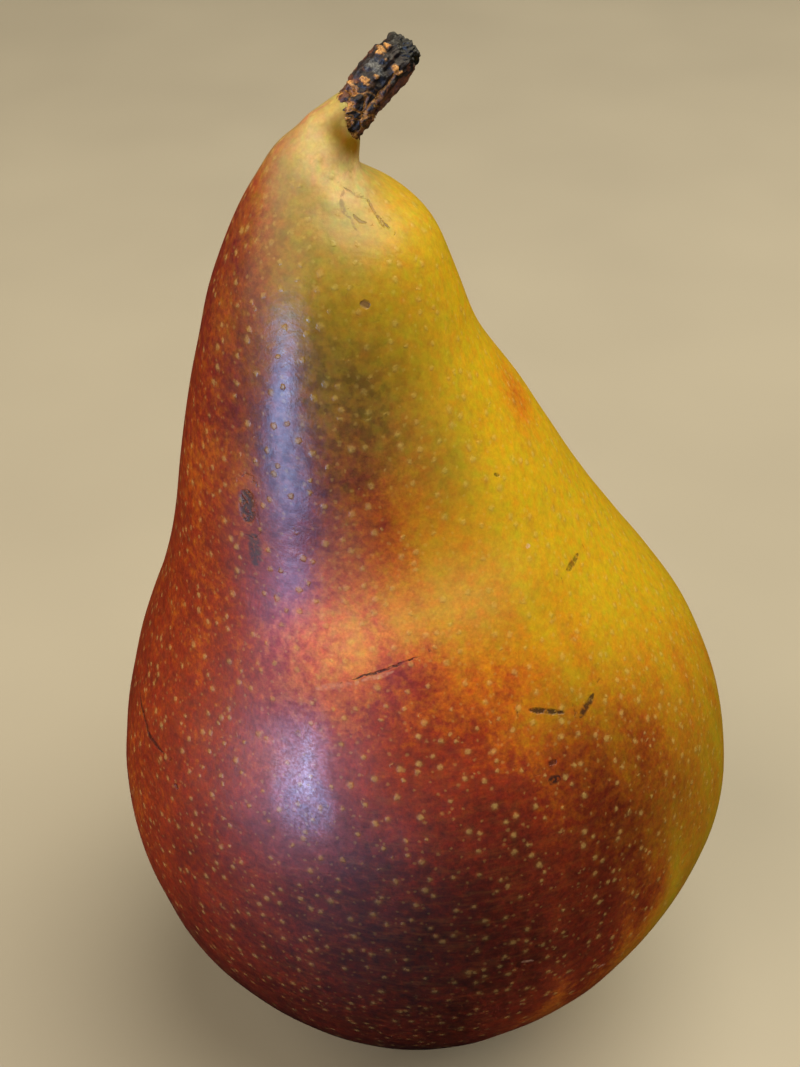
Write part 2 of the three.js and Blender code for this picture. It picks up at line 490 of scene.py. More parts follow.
def around_axis(points):
    """The angle round the fruit in degrees: 0 at +X, -90 at the front, 180 at -X."""
    axis_x = np.interp(points[..., 2], skin_curve[:, 2], skin_curve[:, 1])
    return np.degrees(np.arctan2(points[..., 1], points[..., 0] - axis_x))


def by_height(points, table):
    """A value looked up by height in a table of (height, value) pairs."""
    heights, values = zip(*table)
    return np.interp(points[..., 2], heights, values)


turn = around_axis(skin)
for ragged_length, ragged_angle, seed in RAGGED:
    turn = turn + ragged_angle * waves(skin * UPRIGHT, ragged_length, seed)
front_edge = by_height(skin, FRONT_EDGE)
back_edge = by_height(skin, BACK_EDGE)
in_front = 1 - smoothstep(turn, front_edge - EDGE_SOFT, front_edge + EDGE_SOFT)
behind = smoothstep(turn, back_edge - EDGE_SOFT, back_edge + EDGE_SOFT)
blush = by_height(skin, SUN_DENSITY_AND_BASE_SHADE) * np.where(turn < 90, in_front, behind)
print(f"the blush covers {100 * (blush > 0.3).mean():.0f}% of the vertices")

# %% [markdown]
# Soft round zones then hold what is particular to this fruit: a dark cheek, which is deep blush and partly
# painted shade, a pale shoulder, which is paler skin and partly a painted sheen, and red that fades over
# the neck.

# %% Zones of the blush
BLUSH_SHADE_AND_SHEEN_ZONES = [  # [place, size, change of density]
    ((-1, -33, 40), (13, 14, 14), 0.35),  # the dark cheek, low in front: deep blush, and painted shade where the front gets little light
    ((8, -29, 53), (9, 9, 8), 0.12),  # its upper right shoulder
    ((19, -23, 49), (8, 8, 10), -0.05),  # bronze on its right, where red thins again
    ((13.5, -26.6, 51), (5.5, 5, 8), -0.22),
    ((27, -15, 42), (8, 8, 9), -0.22),
    ((-8, -30, 51), (6, 6, 6), 0.12),
    ((10.0, -23, 60.8), (5, 4, 3.6), -0.15),  # gold runs into the cheek from above
    ((11, -19.8, 63.2), (6, 5, 3.6), -0.17),
    ((13, -20.3, 61), (5, 4, 3.5), -0.09),
    ((-2, -22.3, 67.0), (3.5, 4, 3.2), 0.22),  # and red climbs to the long scratch
    ((-0.2, -20.9, 69.6), (2.2, 3, 2.6), 0.14),
    ((-8.3, -22.6, 65.6), (3, 3, 3), -0.08),
    ((2.8, -20.7, 68.6), (2.5, 3, 2.5), -0.12),
    ((-5.0, -15, 84), (7.5, 6, 7.0), 0.16),  # brown where red thins over olive
    ((-2.5, -15.5, 82), (5, 5, 4.5), 0.10),
    ((-8, -18.3, 76), (4, 5, 4), -0.06),
    ((1.5, -13.3, 83), (3, 4, 5), -0.08),
    ((-11, -14, 82), (4.5, 5, 9), -0.04),
    ((-13, -18, 74), (5, 6, 6), 0.09),
    ((-30, -13, 39), (8, 8, 12), -0.20),  # the left edge, thinner again
    ((-21, -9, 80), (5, 6, 10), -0.08),
    ((-17, -9, 88), (4.5, 5, 8), -0.08),
    ((-8.0, -20, 70), (6.5, 6, 5.5), -0.30),  # the pale shoulder: paler skin, and a painted warm sheen
    ((8.0, -1.4, 84.0), (2.0, 4, 6.0), 0.26),  # an orange fleck on the right of the neck
]
MOST_BLUSH = 1.1

blush += zones(skin, BLUSH_SHADE_AND_SHEEN_ZONES)
blush = np.where(on_skin, np.clip(blush, 0, MOST_BLUSH), blush[flat_start + len(FLAT_RING)])
print(f"density of the blush: {blush.min():.2f} to {blush.max():.2f}")

# %% [markdown]
# The ground differs from place to place as well, and so does the wax. Each difference is a table of zones,
# written on the vertices under the table's name. Three of them are partly or wholly painted light: a warm
# sheen on the shoulder, shade on the lower right, and a highlight and light on the crown's ridge.

# %% Zones of the ground and of the wax
SKIN_ZONES = {
    "olive": [
        ((-7.5, -12.5, 88), (7.5, 8, 8.5), 1.05),  # the front of the neck
        ((-15, -6, 97), (7, 9, 8), 0.50),  # and its left side
        ((-6, -10, 97.5), (9, 9, 4.5), 0.22),
        ((-12.5, -13.5, 85), (6, 6, 10), 0.50),  # under the streak on the neck
        ((-13.5, -4, 104), (5, 7, 5.5), 0.42),  # the left of the crown
        ((-7.5, -7, 103.2), (5, 5, 2.2), 0.22),
        ((1.5, -13.3, 83), (3.5, 4, 5.5), 0.35),
        ((-18, -8.5, 88), (6, 6, 10), 0.22),
        ((-8.5, -17.5, 76.5), (4, 4, 4), 0.22),
    ],
    "bronze_and_shade": [  # the lower right of the bulb: a bronze tone, darkened further as painted shade
        ((12, -20.5, 61.5), (5, 4, 4), 0.25),
        ((26, -14, 48), (15, 18, 14), 0.60),
        ((16, -25, 49), (11, 9, 13), 0.65),
        ((17, -21, 57), (9, 8, 6), 0.35),
    ],
    "furrowed": [  # brown and bare under the stem
        ((-8.1, -1.9, 110.0), (0.8, 1.0, 1.1), 0.8),
        ((-7.2, -1.7, 108.9), (1.0, 1.2, 1.0), 0.8),
        ((-6.6, -1.2, 108.3), (0.8, 1.2, 1.0), 0.8),
    ],
    "crown_painted_light": [  # painted highlight on the ridge that runs down from the stem's foot, and painted light on the shaded slope under the furrow
        ((-10.2, -1.8, 109.2), (1.3, 1.5, 1.8), 0.42),
        ((-8.9, -2.7, 109.0), (0.9, 1.0, 1.4), 0.35),
        ((-9.5, -3.9, 107.4), (1.5, 1.5, 1.3), 0.75),
        ((-7.8, -3.6, 106.4), (1.5, 1.5, 1.2), 0.9),
        ((-6.3, -1.8, 106.3), (1.0, 1.6, 1.2), 0.7),
    ],
    "shoulder_pale_and_sheen": [  # the pale shoulder: paler skin, and a painted warm sheen over it
        ((-8.5, -20, 70.6), (6.5, 6, 5.2), 1.0),
        ((3, -19, 73.5), (6, 6, 4), 0.45),
    ],
    "polish": [  # the wax has been rubbed smooth here
        ((-11.8, -25.5, 57.2), (5, 8, 5.2), 0.6),
    ],
}
DULL_ZONES = [  # the wax is dull here
    ((-8, -29, 47), (14, 14, 19), 0.23),
    ((-12, -22, 65.5), (7, 6, 4.5), 0.20),
    ((-11, -17.6, 75.5), (5, 6, 5), -0.12),  # but glossier on the neck
    ((-13, -11, 94), (5, 6, 6), -0.07),
    ((-16.5, -14.5, 77), (3.2, 3.5, 4.5), 0.22),  # and dull again on each side of it
    ((-7.8, -17.8, 77.5), (2.8, 3.5, 4), 0.28),
]
GLOW_DULLS = 0.24  # how dull the pale shoulder is
DULL_LIMITS = (-0.12, 0.4)
PALE_HEIGHTS = (97, 106)  # the crown turns pale between these heights
PALE_UNDER = (0.10, 0.45)  # but not where the blush is denser than this
PALE_SIDES = (-7, -3)  # and less on its right, between these places along X
PALE_LOSS = (0.85, 0.8)  # how much of it the blush takes, and the right side

skin_values = {name: np.clip(zones(skin, table), 0, 1) for name, table in SKIN_ZONES.items()}
pale = smoothstep(skin[..., 2], *PALE_HEIGHTS) * on_skin * (1 - PALE_LOSS[0] * smoothstep(blush, *PALE_UNDER))
pale = pale * (1 - PALE_LOSS[1] * smoothstep(skin[..., 0], *PALE_SIDES))
dull = np.clip(GLOW_DULLS * skin_values["shoulder_pale_and_sheen"] + zones(skin, DULL_ZONES), *DULL_LIMITS)
skin_values.update(blush=blush, pale=pale, dull=dull)
for name, values in skin_values.items():
    print(f"{name}: {values.min():.2f} to {values.max():.2f}")

# %% [markdown]
# ## A short way to write shader nodes
#
# A node tree is a graph, and writing each node and each link by hand takes many lines. `Shade` wraps one
# tree. Every method adds a node and gives back its output, so a material reads like a formula.

# %% The node helper
class Shade:
    """A material's node tree, written as nested calls. Lengths in the patterns are in millimetres."""

    def __init__(self, name):
        self.material = bpy.data.materials.new(name)
        self.material.use_nodes = True
        self.tree = self.material.node_tree
        self.tree.nodes.clear()
        texture = self.tree.nodes.new("ShaderNodeTexCoord")
        self.place = self.vector("SCALE", texture.outputs["Object"], scale=1 / MM)

    def add(self, kind, inputs, **settings):
        """A node of one kind. An input is linked if it comes from another node, and set if it is a value."""
        node = self.tree.nodes.new(kind)
        for key, value in settings.items():
            setattr(node, key, value)
        for key, value in inputs.items():
            if isinstance(value, bpy.types.NodeSocket):
                self.tree.links.new(value, node.inputs[key])
            elif value is not None:
                node.inputs[key].default_value = value
        return node

    def math(self, operation, a, b=None, c=None, clamp=False):
        """One operation on numbers. "MULTIPLY_ADD" gives a * b + c."""
        inputs = {0: a, 1: b, 2: c}
        return self.add("ShaderNodeMath", inputs, operation=operation, use_clamp=clamp).outputs[0]

    def times(self, a, b):
        """The product of two numbers."""
        return self.math("MULTIPLY", a, b)

    def between(self, share, start, end):
        """`start` where the share is 0, `end` where it is 1, and evenly between them."""
        return self.math("MULTIPLY_ADD", share, end - start, start)

    def vector(self, operation, a, b=None, scale=None):
        """One operation on vectors. A length and a dot product come out as a number."""
        node = self.add("ShaderNodeVectorMath", {0: a}, operation=operation)
        if b is not None:
            self.join(b, node.inputs[1])
        if scale is not None:
            self.join(scale, node.inputs["Scale"])
        return node.outputs["Value" if operation in ("LENGTH", "DOT_PRODUCT") else "Vector"]

    def join(self, value, socket):
        """Link the socket to another node's output, or set its value."""
        if isinstance(value, bpy.types.NodeSocket):
            self.tree.links.new(value, socket)
        else:
            socket.default_value = value

    def span(self, value, low, high, to_low=0.0, to_high=1.0):
        """A smooth step of `value` from `low` to `high`, given out between `to_low` and `to_high`."""
        inputs = {"Value": value, "From Min": low, "From Max": high, "To Min": to_low, "To Max": to_high}
        return self.add("ShaderNodeMapRange", inputs, interpolation_type="SMOOTHSTEP").outputs["Result"]

    def noise(self, length, detail=3.0, roughness=0.55, at=None, offset=0.0):
        """Noise of about 0.5 on average, whose blotches are about `length` mm wide."""
        where = self.vector("ADD", at or self.place, (offset, offset, offset))
        inputs = {"Vector": where, "Scale": 1 / length, "Detail": detail, "Roughness": roughness}
        return self.add("ShaderNodeTexNoise", inputs).outputs["Fac"]

    def mix(self, factor, a, b, blend="MIX"):
        """Color `a` where the factor is 0 and `b` where it is 1. "MULTIPLY" blends their product over `a`."""
        node = self.add("ShaderNodeMix", {}, data_type="RGBA", blend_type=blend)
        for key, value in (("Factor_Float", factor), ("A_Color", a), ("B_Color", b)):
            socket = next(s for s in node.inputs if s.identifier == key)
            self.join((*value, 1) if isinstance(value, tuple) else value, socket)
        return next(s for s in node.outputs if s.identifier == "Result_Color")

    def ramp(self, value, stops):
        """The color found for a value in a table of (value, color) stops."""
        node = self.add("ShaderNodeValToRGB", {"Fac": value})
        elements = node.color_ramp.elements
        while len(elements) < len(stops):
            elements.new(0.5)
        for element, (position, color) in zip(elements, stops):
            element.position = position
            element.color = (*color, 1)
        return node.outputs["Color"]

    def attribute(self, name):
        """A number that was written on the vertices."""
        return self.add("ShaderNodeAttribute", {}, attribute_name=name).outputs["Fac"]

    def bump(self, height, distance, normal=None):
        """A bumpy normal: `height` from 0 to 1 stands for 0 to `distance` mm."""
        inputs = {"Height": height, "Distance": distance * MM, "Normal": normal}
        return self.add("ShaderNodeBump", inputs).outputs["Normal"]

    def finish(self, color, roughness, normal, **constants):
        """The surface shader and the output, which complete the material."""
        inputs = {"Base Color": color, "Roughness": roughness, "Normal": normal, **constants}
        shader = self.add("ShaderNodeBsdfPrincipled", inputs)
        output = self.tree.nodes.new("ShaderNodeOutputMaterial")
        self.tree.links.new(shader.outputs["BSDF"], output.inputs["Surface"])
        return self.material


# %% [markdown]
# ## The skin's material
#
# The skin could be painted into an image. Nodes are used instead, because they stay sharp from close up and
# each of their parts can be changed on its own. The colour is ground times wash. The ground is gold, turned
# olive, bronze or pale by its zones, some of which paint a sheen, a highlight and shade. The wash is a colour
# ramp over the blush's density: it holds back green light first, so a thin blush is orange, a fuller one
# red, and the fullest a dark crimson, which low on the bulb is partly painted shade. Multiplying, rather
# than mixing, keeps the ground alive under the red, as it is on the fruit.

# %% Ground and wash
GOLD = (0.54, 0.345, 0.008)
GREENER = (0.53, 0.355, 0.010)
FRECKLE = (0.36, 0.24, 0.015)
OLIVE = (0.200, 0.136, 0.022)
OLIVE_DEEP = (0.125, 0.085, 0.018)
# partly the skin's bronze tone and partly painted shade on the lower right
BRONZE_AND_SHADE = (0.22, 0.140, 0.004)
# paler skin on the shoulder, brightened further as a painted warm sheen
SHOULDER_PALE_AND_SHEEN = (0.66, 0.42, 0.085)
PALE = (0.43, 0.335, 0.120)
# painted highlight and painted light on the crown, not a colour of the skin
CROWN_PAINTED_LIGHT = (0.80, 0.63, 0.32)
BARE = (0.21, 0.110, 0.004)
WASH = [  # [density, share of red, green and blue light that comes back]
    (0.0, (1.0, 1.0, 1.0)),
    (0.2, (1.0, 0.66, 1.0)),
    (0.4, (0.84, 0.32, 1.0)),
    (0.6, (0.47, 0.092, 1.1)),
    (0.8, (0.28, 0.050, 1.0)),
    # the darkest stops also carry the painted shade on the base and the dark cheek
    (1.0, (0.13, 0.023, 0.5)),
    (1.2, (0.05, 0.012, 0.35)),
]

fine = Shade("blush_skin")
mottle = fine.noise(3.2, 3.0, 0.6, offset=160.0)
ground = fine.mix(fine.span(mottle, 0.35, 0.68), GOLD, GREENER)
freckle = fine.span(fine.noise(1.4, 2.0, 0.5, offset=240.0), 0.56, 0.72, 0.0, 0.35)
ground = fine.mix(freckle, ground, FRECKLE)
olive_color = fine.mix(fine.span(fine.noise(1.1, 3.0, 0.6, offset=280.0), 0.40, 0.62), OLIVE, OLIVE_DEEP)
# Some zones paint light: the shoulder's sheen, shade low on the right, and the crown's highlight.
for name, color in (
    ("shoulder_pale_and_sheen", SHOULDER_PALE_AND_SHEEN),
    ("pale", PALE),
    ("olive", olive_color),
    ("bronze_and_shade", BRONZE_AND_SHADE),
    ("crown_painted_light", CROWN_PAINTED_LIGHT),
    ("furrowed", BARE),
):
    ground = fine.mix(fine.attribute(name), ground, color)
print("nodes of the ground:", len(fine.tree.nodes))

# %% [markdown]
# The blush is not a film of even thickness. It lies in small clouds and grains of pigment, and it is most
# uneven where it is neither thin nor full. Three noises do this: one of several millimetres, one of one
# millimetre, and a grain of a third of a millimetre. Over all of it lies a silky texture of fine pale
# strokes that run round the fruit, and a faint tint whose red, green and blue vary each on their own,
# because no two spots of real skin have quite the same hue.

# %% Clouds, grain and silk
DENSEST = 1.2  # the ramp runs from 0 to 1, so densities are divided by this first
CLOUD_AMOUNT = 0.42
SPECKLE_AMOUNT = 0.62
GRAIN_AMOUNT = (0.30, 0.95)  # on the bare ground and where the blush is full
SILK_STRETCH = (0.35, 0.35, 1.9)
SILK_AMOUNT = 0.055
SILK = (0.55, 0.24, 0.05)
TINT_LENGTH = 0.9
TINT_RANGE = 0.65  # how far each channel's share varies
TINT_LEAST = (0.655, 0.67, 0.65)

cloud = fine.math("SUBTRACT", fine.noise(4.5, 4.0, 0.6), 0.5)
speckle = fine.math("SUBTRACT", fine.noise(0.8, 4.0, 0.65, offset=40.0), 0.5)
grain = fine.noise(0.30, 3.0, 0.6, offset=80.0)
density = fine.attribute("blush")
uneven = fine.math("MULTIPLY_ADD", cloud, CLOUD_AMOUNT, fine.times(speckle, SPECKLE_AMOUNT))
present = fine.span(density, 0.0, 0.40, 0.20, 1.0)
density = fine.math("MULTIPLY_ADD", uneven, present, density)
density = fine.math("DIVIDE", density, DENSEST, clamp=True)
wash = fine.ramp(density, [(position / DENSEST, color) for position, color in WASH])
skin_color = fine.mix(1.0, ground, wash, "MULTIPLY")
shade_of_grain = fine.ramp(grain, [(0.3, (0.80, 0.77, 0.72)), (0.7, (1.20, 1.23, 1.28))])
grain_share = fine.between(present, *GRAIN_AMOUNT)
skin_color = fine.mix(grain_share, skin_color, fine.mix(1.0, skin_color, shade_of_grain, "MULTIPLY"))
stretched = fine.vector("MULTIPLY", fine.place, SILK_STRETCH)
silk = fine.noise(1.0, 3.0, 0.65, at=stretched, offset=200.0)
silk_share = fine.times(fine.span(silk, 0.45, 0.72), fine.times(present, SILK_AMOUNT))
skin_color = fine.mix(silk_share, skin_color, SILK)
tint = fine.add("ShaderNodeTexNoise", {"Vector": fine.place, "Scale": 1 / TINT_LENGTH, "Detail": 4.0})
tint = fine.vector("ADD", fine.vector("SCALE", tint.outputs["Color"], scale=TINT_RANGE), TINT_LEAST)
skin_color = fine.mix(1.0, skin_color, tint, "MULTIPLY")
print("nodes with the blush:", len(fine.tree.nodes))

# %% [markdown]
# ## The spots
#
# The pale spots are lenticels, the pores of the skin. They are under a millimetre wide, a little ragged,
# and stand two or three millimetres apart. Painting each one would take thousands of marks. A cellular
# texture gives each place in space its nearest random point instead. A plain distance to that point would
# cut every dot to a different size, as a ball is cut by a plane, so the part of the distance that runs
# through the skin is taken out with the surface's normal, and only the part along the skin is kept.

# %% Lenticels
CREAM = (0.60, 0.49, 0.17)
CREAM_ON_GOLD = (0.62, 0.52, 0.15)
TAN_HALO = (0.30, 0.19, 0.045)
RIPPLE_LENGTH = 0.32
RADIUS_SHARES = (0.7, 1.2)  # the smallest and the largest dot, as shares of the radius that is asked for
CELL_REACH = (0.40, 0.46)  # a cell point farther from the skin than this share of a cell makes no dot


def lenticels(shade, cell, radius, ragged, offset):
    """Two masks round the cell points that lie near the skin: a soft dot, and a halo twice as wide.

    A cell is `cell` mm wide, a dot's radius is about `radius` mm, and its edge wavers by about `ragged` mm.
    The way to the nearest cell point, less its part along the normal, has the length that counts: a dot
    fades as that length, divided by the dot's own radius, grows.
    """
    ripple_inputs = {"Vector": shade.place, "Scale": 1 / RIPPLE_LENGTH, "Detail": 1.0}
    ripple = shade.add("ShaderNodeTexNoise", ripple_inputs)
    shift = shade.vector("SUBTRACT", ripple.outputs["Color"], (0.5, 0.5, 0.5))
    where = shade.vector("ADD", shade.place, shade.vector("SCALE", shift, scale=ragged))
    where = shade.vector("ADD", where, (offset, offset, offset))
    cells = shade.add("ShaderNodeTexVoronoi", {"Vector": where, "Scale": 1 / cell}, feature="F1")
    reach = shade.vector("SUBTRACT", cells.outputs["Position"], where)
    normal = shade.add("ShaderNodeAttribute", {}, attribute_name="outward").outputs["Vector"]
    depth = shade.vector("DOT_PRODUCT", reach, normal)
    through = shade.vector("SCALE", normal, scale=depth)
    aside = shade.vector("LENGTH", shade.vector("SUBTRACT", reach, through))
    chance = shade.add("ShaderNodeSeparateColor", {"Color": cells.outputs["Color"]}).outputs["Red"]
    own_radius = shade.between(chance, *(radius * share for share in RADIUS_SHARES))
    spread = shade.math("DIVIDE", aside, own_radius)
    near = shade.span(shade.math("ABSOLUTE", depth), cell * CELL_REACH[1], cell * CELL_REACH[0])
    dot = shade.times(near, shade.span(spread, 1.15, 0.30))
    return dot, shade.times(near, shade.span(spread, 2.1, 0.7))


# %% [markdown]
# Two sizes lie over each other: the spots, and among them small flecks that only just show. The spots are
# paler on red than on gold, and they fade where the cheek is darkest, so that they share its painted shade.

# %% Spots and flecks
HALO_AMOUNT = (0.16, 0.08)  # on gold and on red
DOT_AMOUNT = (0.17, 0.28)
FLECK_AMOUNT = 0.15

dot, halo = lenticels(fine, cell=2.15, radius=0.32, ragged=0.34, offset=7.0)
fleck, _ = lenticels(fine, cell=1.5, radius=0.20, ragged=0.30, offset=23.0)
redness = fine.span(fine.attribute("blush"), 0.02, 0.40)
# the spots dim where the density is high, as painted shade on the dark cheek and the base
not_dark = fine.span(fine.attribute("blush"), 1.1, 0.7, 0.48, 1.0)
halo_share = fine.times(halo, fine.between(redness, *HALO_AMOUNT))
dot_share = fine.times(dot, fine.between(redness, *DOT_AMOUNT))
dot_strength = fine.times(not_dark, fine.span(grain, 0.3, 0.6, 0.7, 1.1))
dot_share = fine.times(dot_share, dot_strength)
fleck_share = fine.times(fleck, fine.times(not_dark, FLECK_AMOUNT))
dot_color = fine.mix(redness, CREAM_ON_GOLD, CREAM)
skin_color = fine.mix(halo_share, skin_color, TAN_HALO)
skin_color = fine.mix(fleck_share, skin_color, dot_color)
skin_color = fine.mix(dot_share, skin_color, dot_color)
print("nodes with the spots:", len(fine.tree.nodes))

# %% [markdown]
# ## Scratches, russet and bruises
#
# Fruit that has been handled carries marks, and they are what tells one pear from the next. Each is a
# short line along the skin, named by its corners. The mesh is too coarse to draw a scratch of a fifth of
# a millimetre, but it can carry the scratch's own coordinates: how far along it a vertex lies, and how
# far aside. Both change evenly over a triangle, so the material can draw a sharp line from them. A vertex
# carries one mark in each layer, so marks that lie close together are spread over two layers.

# %% The marks of this pear
CUT = (0.022, 0.010, 0.010)
RUSSET = (0.13, 0.075, 0.050)
SCAR = (0.62, 0.42, 0.36)
BRUISE = (0.030, 0.028, 0.030)
MARKS = [
    [  # [corners, half width, strength, color]
        ([(-7.2, -22.1, 67.1), (-5.0, -21.9, 67.7), (-1.3, -21.3, 69.1)], 0.135, 0.85, CUT),
        ([(8.9, -21.6, 62.7), (12.4, -20.6, 61.3)], 0.32, 0.85, CUT),
        ([(12.7, -11.5, 70.8), (14.2, -8.9, 70.8)], 0.34, 0.62, CUT),
        ([(10.8, -24.1, 58.1), (11.6, -23.7, 58.1)], 0.34, 0.65, CUT),
        ([(5.4, -10.9, 81.6), (6.0, -10.6, 81.3)], 0.17, 0.60, CUT),
        ([(-29.5, -9.7, 53.3), (-27.9, -14.7, 52.0), (-26.0, -17.5, 52.2)], 0.30, 0.75, CUT),
        ([(-24.9, -19.7, 50.5), (-24.5, -20.2, 50.2)], 0.30, 0.60, CUT),
        ([(-7.5, -3.5, 106.0), (-6.3, -3.5, 105.3), (-5.4, -3.1, 104.9)], 0.13, 0.40, RUSSET),
        ([(-5.4, -3.1, 104.9), (-5.0, -3.7, 104.5), (-4.6, -4.4, 103.9)], 0.16, 0.55, RUSSET),
        ([(-4.6, -4.4, 103.9), (-4.2, -4.8, 103.4), (-3.6, -4.9, 102.9)], 0.26, 0.75, RUSSET),
        ([(-6.7, -5.1, 104.4), (-6.1, -5.6, 104.0), (-5.5, -5.4, 103.8)], 0.17, 0.55, RUSSET),
        ([(-6.2, -9.6, 98.5), (-5.4, -9.7, 98.1)], 0.36, 0.80, RUSSET),
        ([(-16.4, -13.3, 81.8), (-16.4, -14.2, 78.8)], 1.0, 0.85, BRUISE),
    ],
    [
        ([(-10.6, -22.0, 65.8), (-7.2, -22.3, 66.8)], 0.34, 0.22, SCAR),
        ([(-6.4, -22.2, 67.0), (-3.4, -21.9, 67.9)], 0.20, 0.30, SCAR),
        ([(8.5, -12.8, 74.8), (9.0, -12.6, 74.8)], 0.19, 0.75, SCAR),
        ([(13.8, -20.2, 60.2), (15.3, -18.0, 61.3)], 0.36, 0.85, CUT),
        ([(10.8, -25.1, 56.8), (12.0, -24.6, 56.9)], 0.48, 0.95, CUT),
        ([(17.0, -28.2, 32.3), (18.0, -27.5, 32.0)], 0.20, 0.35, SCAR),
        ([(8.8, -32.1, 38.8), (10.1, -31.7, 38.4)], 0.20, 0.30, SCAR),
        ([(-7.6, -4.3, 105.4), (-7.4, -5.2, 104.7), (-7.0, -5.5, 104.3)], 0.25, 0.60, RUSSET),
        ([(-7.0, -5.5, 104.3), (-6.6, -6.0, 103.8), (-6.3, -6.3, 103.5)], 0.15, 0.45, RUSSET),
        ([(-7.3, -3.6, 105.8), (-7.5, -4.2, 105.5)], 0.14, 0.40, RUSSET),
        ([(-15.9, -14.7, 78.0), (-15.8, -15.6, 74.9)], 0.8, 0.75, BRUISE),
    ],
]

# %% From a mark to the vertices
MARK_REACH = 1.3  # a vertex farther than this from a mark doesn't carry it
CROWN_MARK_REACH = 0.6  # on the crown, where the vertices stand closer


def lay_marks(points, normals, marks):
    """Each vertex's place on its nearest mark.

    Gives back three arrays: (share of the length from -1 to 1, mm aside, half width), the mark's color,
    and its strength, which is 0 beyond the reach. The distance aside is taken at right angles to both the
    mark and the skin's normal.
    """
    place, color, strength = np.zeros(points.shape), np.zeros(points.shape), np.zeros(points.shape[:-1])
    nearest = np.where(points[..., 2] > CROWN_HEIGHT, CROWN_MARK_REACH, MARK_REACH)
    for corners, half_width, amount, tint_color in marks:
        corners = np.array(corners, dtype=float)
        lengths = np.linalg.norm(np.diff(corners, axis=0), axis=1)
        passed = 0.0
        for start, end, length in zip(corners[:-1], corners[1:], lengths):
            direction = (end - start) / length
            run = (points - start) @ direction
            on_it = start + np.clip(run, 0, length)[..., None] * direction
            gap = np.linalg.norm(points - on_it, axis=-1)
            closer = gap < nearest
            across = np.cross(normals, direction)
            across /= np.linalg.norm(across, axis=-1, keepdims=True) + 1e-9
            aside = ((points - start) * across).sum(axis=-1)
            share = 2 * (passed + run) / lengths.sum() - 1
            laid = np.stack([share, aside, half_width + 0 * share], axis=-1)
            place[closer], color[closer], strength[closer] = laid[closer], tint_color, amount
            nearest = np.where(closer, gap, nearest)
            passed += length
    return place, color, strength


skin_outward = outward(skin)
mark_attributes = {}
for layer, marks in enumerate(MARKS):
    mark_place, mark_color, mark_strength = lay_marks(skin, skin_outward, marks)
    mark_attributes[f"mark_place_{layer}"] = [mark_place]
    mark_attributes[f"mark_color_{layer}"] = [mark_color]
    mark_attributes[f"mark_strength_{layer}"] = [mark_strength]
    print(f"marks, layer {layer}: {len(marks)}, on {(mark_strength > 0).sum()} vertices")


# %% [markdown]
# The material turns those coordinates into a mark. It narrows towards its ends, a noise moves its edge, and
# a finer noise wears it thin in places, so that no two look alike.

# %% Marks in the material
MARK_WAVER = 0.25  # mm that its edge moves, each way
MARK_END_WIDTH = 0.35  # share of its width that is left at its ends


def drawn_mark(shade, layer):
    """How much of the layer's mark shows here, and its color.

    The distance aside, moved by a noise, is divided by a half width that narrows with the cube of the way
    from the middle, and the mark fades as the result passes 1.
    """
    place = shade.add("ShaderNodeAttribute", {}, attribute_name=f"mark_place_{layer}").outputs["Vector"]
    color = shade.add("ShaderNodeAttribute", {}, attribute_name=f"mark_color_{layer}").outputs["Color"]
    parts = shade.add("ShaderNodeSeparateXYZ", {"Vector": place}).outputs
    waver = shade.between(shade.noise(1.2, 3.0, 0.5, offset=300.0), -MARK_WAVER, MARK_WAVER)
    aside = shade.math("ABSOLUTE", shade.math("ADD", parts["Y"], waver))
    from_middle = shade.math("ABSOLUTE", parts["X"])
    narrow = shade.between(shade.math("POWER", from_middle, 3.0), 1.0, MARK_END_WIDTH)
    width = shade.times(narrow, parts["Z"])
    line = shade.span(shade.math("DIVIDE", aside, width), 1.3, 0.4)
    line = shade.times(line, shade.span(from_middle, 1.05, 0.9))
    worn = shade.span(shade.noise(0.45, 2.0, 0.6, offset=320.0), 0.36, 0.54, 0.35, 1.0)
    line = shade.times(line, worn)
    return shade.times(line, shade.attribute(f"mark_strength_{layer}")), color


scar, scar_color = drawn_mark(fine, 1)
cut, cut_color = drawn_mark(fine, 0)
skin_color = fine.mix(scar, skin_color, scar_color)
skin_color = fine.mix(cut, skin_color, cut_color)
print("nodes with the marks:", len(fine.tree.nodes))

# %% [markdown]
# The skin is waxy. Its gloss is soft, duller over the cheek and the shoulder, and has been rubbed to a
# polish in one place. The polish is a thin coat over the rest, broken up by the grain. The grain, the
# spots and the cuts stand a few hundredths of a millimetre up or down. That is too fine for a mesh, so
# they are bumps in the material.

# %% Finish of the skin
ROUGHNESS = (0.30, 0.40)
DOT_ROUGHNESS = 0.08  # the spots are this much duller
GRAIN_HEIGHT = 0.016
DOT_HEIGHT = 0.030
CUT_DEPTH = 0.10
RIPPLE_HEIGHT = 0.030

skin_roughness = fine.math("MULTIPLY_ADD", dot, DOT_ROUGHNESS, fine.span(speckle, -0.3, 0.3, *ROUGHNESS))
skin_roughness = fine.math("ADD", fine.attribute("dull"), skin_roughness)
skin_bump = fine.bump(grain, GRAIN_HEIGHT)
skin_bump = fine.bump(dot, DOT_HEIGHT, skin_bump)
skin_bump = fine.bump(fine.math("SUBTRACT", 1.0, cut), CUT_DEPTH, skin_bump)
skin_bump = fine.bump(fine.noise(1.1, 2.0, 0.5, offset=120.0), RIPPLE_HEIGHT, skin_bump)
skin_material = fine.finish(skin_color, skin_roughness, skin_bump, **{
    "IOR": 1.37,
    "Coat Weight": fine.times(fine.attribute("polish"), fine.span(grain, 0.35, 0.65, 0.35, 1.0)),
    "Coat Roughness": 0.15,
    "Coat IOR": 1.4,
})

fruit_piece = closed_surfaces("pear_skin", [skin], {
    **{name: [values] for name, values in skin_values.items()},
    "outward": [skin_outward],
    **mark_attributes,
})
fruit_piece.data.materials.append(skin_material)

